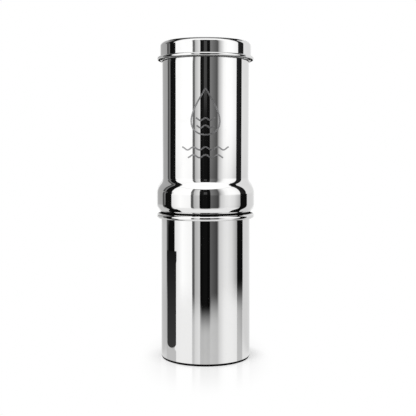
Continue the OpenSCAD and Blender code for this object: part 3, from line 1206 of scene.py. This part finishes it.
def threadPiece(name, foot, head, core, crest, finish):
    # the crest is outside the core on a stem, and inside it in a nut
    s = thread
    depth, base, tip = crest - core, s["baseWidth"] / 2, s["crestWidth"] / 2
    section = [(0, -base), (depth, -tip), (depth, tip), (0, base)]
    piece = newPiece(name, [(x * mm, y * mm, 0) for x, y in section], [(0, 1), (1, 2), (2, 3), (3, 0)])
    return bakePiece(piece, threadTree, {
        "Pitch": s["pitch"] * mm, "Turns": (head - foot) / s["pitch"], "Radius": core * mm,
        "Foot": foot * mm, "Fade Turns": s["fadeTurns"], "Tip Share": s["tipShare"], "Finish": finish,
    }, s["sharpOver"])


candle = dict(wall=7, edge=0.6)


def makeCandleShell():
    s = candle
    low, high = cadSize("candle_shell")
    bore, boreTop, edge = high.x - s["wall"], high.z - s["wall"], s["edge"]
    outline = roundedOutline([
        (0, boreTop, 0), (bore, boreTop, bore), (bore, low.z, edge),
        (high.x, low.z, edge), (high.x, high.z, high.x), (0, high.z, 0),
    ], closed=False)
    piece = spinPiece("ceramicShell", outline, finishes["filterCeramic"], spin["candleSegments"])
    dress(piece, "candle", "filter_ceramic", "candle_shell")


candleMount = dict(
    cupWall=1.6, cupHeight=14, cupFloor=3, boreRadius=2.8, stemRadius=5, coreRadius=4.2,
    collarFoot=1.8, recessRadius=4.7, recessDepth=0.8, waist=0.65, footBand=1.6, rimBand=1.8,
    edge=0.5, inner=0.3, stemEdge=0.25, tight=0.12,
    ribs=48, ribWidth=0.9, ribEdge=0.28, ribSunk=0.5, ribProud=0.55, ribLap=0.4,
    threadFoot=0.5, threadLap=0.3, threadSunk=0.08,
)


def makeCandleMount():
    s = candleMount
    white = finishes["whitePlastic"]
    low, high = cadSize("candle_mount")
    outer, top, bore, core, stem = high.x, high.z, s["boreRadius"], s["coreRadius"], s["stemRadius"]
    seat = top - s["cupHeight"]
    inside = outer - s["cupWall"]
    cupFloor = seat + s["cupFloor"]
    recess, recessFoot = s["recessRadius"], cupFloor - s["recessDepth"]
    waist = outer - s["waist"]
    waistFoot, waistTop = seat + s["footBand"], top - s["rimBand"]
    collar = seat - s["collarFoot"]
    edge, inner, tight = s["edge"], s["inner"], s["tight"]
    outline = roundedOutline([
        (bore, low.z, inner), (core, low.z, edge), (core, collar, tight), (stem, collar, s["stemEdge"]),
        (stem, seat, tight), (outer, seat, edge), (outer, waistFoot, inner), (waist, waistFoot, inner),
        (waist, waistTop, inner), (outer, waistTop, inner), (outer, top, edge), (inside, top, inner),
        (inside, cupFloor, inner), (recess, cupFloor, tight), (recess, recessFoot, tight),
        (bore, recessFoot, tight),
    ])
    piece = spinPiece("candleMountCup", outline, white, spin["candleSegments"])
    dress(piece, "candle", "white_plastic", "candle_mount")
    side, lap = s["ribWidth"] / 2, s["ribLap"]
    ribLow = (waist - s["ribSunk"], -side, waistFoot - lap)
    ribHigh = (waist + s["ribProud"], side, waistTop + lap)
    ribs = barPiece("candleMountRibs", ribLow, ribHigh, s["ribEdge"], s["ribs"], white)
    dress(ribs, "candle", "white_plastic")
    foot, head = low.z + s["threadFoot"], collar + s["threadLap"]
    ridge = threadPiece("candleMountThread", foot, head, core - s["threadSunk"], stem, white)
    dress(ridge, "candle", "white_plastic")


candleBond = dict(boreEdge=0.25, edge=0.3, lip=0.12, dip=0.22, shellEdge=0.1, lap=0.05)


def makeCandleBond():
    s = candleBond
    low, high = cadSize("candle_bond")
    shellLow, shellHigh = cadSize("candle_shell")
    bore, shell = shellHigh.x - candle["wall"], shellHigh.x - s["lap"]
    outline = roundedOutline([
        (bore, low.z, s["boreEdge"]), (high.x, low.z, s["edge"]), (high.x, high.z, s["lip"]),
        ((high.x + shellHigh.x) / 2, high.z - s["dip"], s["shellEdge"]), (shell, high.z, s["shellEdge"]),
        (shell, shellLow.z, s["shellEdge"]), (bore, shellLow.z, s["edge"]),
    ])
    piece = spinPiece("candleBondRing", outline, finishes["adhesive"], spin["candleSegments"])
    dress(piece, "candle", "adhesive", "candle_bond")


endCap = dict(
    edge=0.4, spigotRadius=4.7, spigotEdge=0.8, rimWidth=1.3, recess=1.0, hubRadius=2.4, hubHeight=0.45,
    hubEdge=0.2, tight=0.15, inner=0.3, deepEdge=0.35,
    ribs=6, ribWidth=1.2, ribDown=0.25, ribEdge=0.25, ribIn=0.6, ribOut=0.4, ribSunk=0.5,
)


def makeEndCap():
    s = endCap
    cap = finishes["capPlastic"]
    low, high = cadSize("carbon_end_cap")
    blockTop = cadSize("carbon_block")[1].z
    inside, deep = high.x - s["rimWidth"], high.z - s["recess"]
    spigot, hub, hubTop, inner = s["spigotRadius"], s["hubRadius"], deep + s["hubHeight"], s["inner"]
    outline = roundedOutline([
        (0, low.z, 0), (spigot, low.z, s["spigotEdge"]), (spigot, blockTop, s["tight"]),
        (high.x, blockTop, inner), (high.x, high.z, s["edge"]), (inside, high.z, inner),
        (inside, deep, s["deepEdge"]), (hub, deep, inner), (hub, hubTop, s["hubEdge"]), (0, hubTop, 0),
    ], closed=False)
    piece = spinPiece("endCapDisc", outline, cap, spin["candleSegments"])
    dress(piece, "candle", "cap_plastic", "carbon_end_cap")
    side = s["ribWidth"] / 2
    ribLow = (hub - s["ribIn"], -side, deep - s["ribSunk"])
    ribHigh = (inside + s["ribOut"], side, high.z - s["ribDown"])
    ribs = barPiece("endCapRibs", ribLow, ribHigh, s["ribEdge"], s["ribs"], cap)
    dress(ribs, "candle", "cap_plastic")


screen = dict(wires=19, pitch=0.45, wireRadius=0.1, wireSides=6, wirePoints=56, frameWidth=0.45)

# Rings whose section is a plain rectangle. The screen's frame has a width in place of a bore.
plainRings = dict(
    carbonCore=dict(node="carbon_block", bore=5, boreEdge=0.4, edge=0.6, finish="carbon", slot="carbon"),
    feltPad=dict(node="carbon_base_pad", bore=4, edge=0.45, finish="felt", slot="felt"),
    screenFrame=dict(
        node="outlet_screen", width=screen["frameWidth"], edge=0.18,
        finish="gauzeSteel", slot="steel_gauze", segments="screenSegments",
    ),
    sealRing=dict(
        node="seal_washer", bore=5.2, edge=0.5,
        finish="silicone", slot="silicone", segments="fittingSegments",
    ),
    plainWasher=dict(
        node="nut_washer", bore=5.2, edge=0.25,
        finish="nylon", slot="nylon", segments="fittingSegments", body="nut_washer",
    ),
)


def makePlainRings(*names):
    for name in names:
        s = plainRings[name]
        low, high = cadSize(s["node"])
        bore = s.get("bore") or high.x - s["width"]
        edge, boreEdge = s["edge"], s.get("boreEdge", s["edge"])
        outline = roundedOutline([
            (bore, low.z, boreEdge), (high.x, low.z, edge),
            (high.x, high.z, edge), (bore, high.z, boreEdge),
        ])
        piece = spinPiece(name, outline, finishes[s["finish"]], spin[s.get("segments", "candleSegments")])
        dress(piece, s.get("body", "candle"), s["slot"], s["node"])


def makeGauzeTree():
    # two sets of wires that pass over and under each other, trimmed to a disc
    graph, given = newShapeTree("wovenDisc", {
        "wires": 19, "pitch": 0.00045, "discRadius": 0.0043, "wireRadius": 0.0001, "height": 0.0,
    })
    calc = graph.math
    pitch, radius, thin = given["pitch"], given["discRadius"], given["wireRadius"]
    first = graph.xyz(Y=(given["wires"] - 1.0) * pitch * -0.5)
    row = graph.geo("MeshLine", {
        "Count": given["wires"], "Start Location": first, "Offset": graph.xyz(Y=pitch),
    }, mode="OFFSET", count_mode="TOTAL")
    line = graph.geo("CurvePrimitiveLine", {"Start": (-1, 0, 0), "End": (1, 0, 0)})
    fine = graph.geo("ResampleCurve", {"Curve": line, "Count": screen["wirePoints"]})
    wires = graph.geo("InstanceOnPoints", {"Points": row, "Instance": fine})
    loose = graph.geo("RealizeInstances", {"Geometry": wires})
    axes = graph.axes(graph.geo("InputPosition"))
    chord = calc("SQRT", calc("MAXIMUM", radius * radius - axes["Y"] * axes["Y"], 0.0))
    along = axes["X"] * chord
    phase = calc("DIVIDE", math.pi, pitch)
    over = calc("COSINE", along * phase) * calc("COSINE", axes["Y"] * phase)
    woven = graph.xyz(X=along, Y=axes["Y"], Z=over * thin)
    bent = graph.geo("SetPosition", {"Geometry": loose, "Position": woven})
    section = curveCircle(graph, screen["wireSides"], thin)
    warp = graph.geo("CurveToMesh", {"Curve": bent, "Profile Curve": section, "Fill Caps": True})
    weft = graph.geo("Transform", {"Geometry": warp, "Rotation": (math.pi, 0, math.pi / 2)})
    both = graph.geo("JoinGeometry")
    for wiresOneWay in (warp, weft):
        graph.feed(both.socket.node.inputs[0], wiresOneWay)
    lift = graph.xyz(Z=given["height"])
    return endTree(graph, given, graph.geo("Transform", {"Geometry": both, "Translation": lift}))


def makeGauze():
    s = screen
    low, high = cadSize("outlet_screen")
    mesh = newPiece("screenGauze")
    bakePiece(mesh, makeGauzeTree(), {
        "wires": s["wires"], "pitch": s["pitch"] * mm, "discRadius": (high.x - s["frameWidth"] / 2) * mm,
        "wireRadius": s["wireRadius"] * mm, "height": (low.z + high.z) / 2 * mm,
        "Finish": finishes["gauzeSteel"],
    })
    dress(mesh, "candle", "steel_gauze")


makeCandleShell()
makeCandleMount()
makeCandleBond()
makePlainRings("carbonCore", "feltPad")
makeEndCap()
makePlainRings("screenFrame")
makeGauze()
makePlainRings("sealRing", "plainWasher")
print("filter candle and washers ready")


wingNut = dict(
    bore=5.75, hubRadius=8.5, hubIn=0.3, hubHeight=9, flangeHeight=1.5,
    edge=0.5, boreEdge=0.4, footEdge=0.8, hubEdge=0.6,
    wingThickness=3, tipThickness=2.5, taperFrom=8, tipRadius=5, tipReach=16, tipHeight=3,
    tipStart=-122, tipEnd=112, tipStep=6, rootIn=6.6, rootOut=10.5, rootHeight=7.4, rootFoot=0.4,
    voxel=0.24, smoothing=8, softness=0.5, threadCrest=5.22, threadLap=0.3, threadSunk=0.1,
)


def wingOutline():
    # one wing in its own plane, from the hub out round the tip and back
    s = wingNut
    root, top = s["rootIn"], s["rootHeight"]
    centre = Vector((s["tipReach"], s["tipHeight"]))
    angles = range(s["tipStart"], s["tipEnd"] + 1, s["tipStep"])
    tip = [centre + s["tipRadius"] * unit(angle) for angle in angles]
    return [Vector((root, s["rootFoot"])), *tip, Vector((s["rootOut"], top)), Vector((root, top))]


def addWing(build, foot, side):
    s = wingNut
    rings = []
    for face in (-1, 1):
        ring = []
        for point in wingOutline():
            share = min(1, max(0, (point.x - s["taperFrom"]) / (s["tipReach"] - s["taperFrom"])))
            thick = s["wingThickness"] + (s["tipThickness"] - s["wingThickness"]) * share
            ring.append(build.verts.new(Vector((side * point.x, face * thick / 2, foot + point.y)) * mm))
        rings.append(ring)
    front, back = rings
    build.faces.new(front)
    build.faces.new(back[::-1])
    for index, corner in enumerate(front):
        build.faces.new((corner, back[index], back[index - 1], front[index - 1]))


def makeWingNut():
    s = wingNut
    white = finishes["whitePlastic"]
    top = cadSize("wing_nut")[1].z
    flange = cadSize("nut_washer")[1].x
    foot, flangeFoot, bore, hub = top - s["hubHeight"], top - s["flangeHeight"], s["bore"], s["hubRadius"]
    piece = spinPiece("wingNutBody", roundedOutline([
        (bore, foot, s["boreEdge"]), (hub - s["hubIn"], foot, s["footEdge"]),
        (hub, flangeFoot, s["hubEdge"]), (flange, flangeFoot, s["edge"]),
        (flange, top, s["edge"]), (bore, top, s["boreEdge"]),
    ]), white, spin["fittingSegments"])
    build = bmesh.new()
    build.from_mesh(piece.data)
    for side in (1, -1):
        addWing(build, foot, side)
    bmesh.ops.recalc_face_normals(build, faces=build.faces)
    keepMesh(build, piece.data)
    # one moulding with soft inner corners
    blend = piece.modifiers.new("oneMoulding", "REMESH")
    blend.mode = "VOXEL"
    blend.voxel_size = s["voxel"] * mm
    blend.use_smooth_shade = True
    soften = piece.modifiers.new("softCorners", "SMOOTH")
    soften.factor = s["softness"]
    soften.iterations = s["smoothing"]
    moulded = applyModifiers(piece)
    moulded.materials.clear()
    moulded.materials.append(white)
    dress(piece, "wing_nut", "white_plastic", "wing_nut")
    lap, core = s["threadLap"], bore + s["threadSunk"]
    ridge = threadPiece("wingNutThread", foot + lap, top - lap, core, s["threadCrest"], white)
    dress(ridge, "wing_nut", "white_plastic")


makeWingNut()
print("wing nut ready")

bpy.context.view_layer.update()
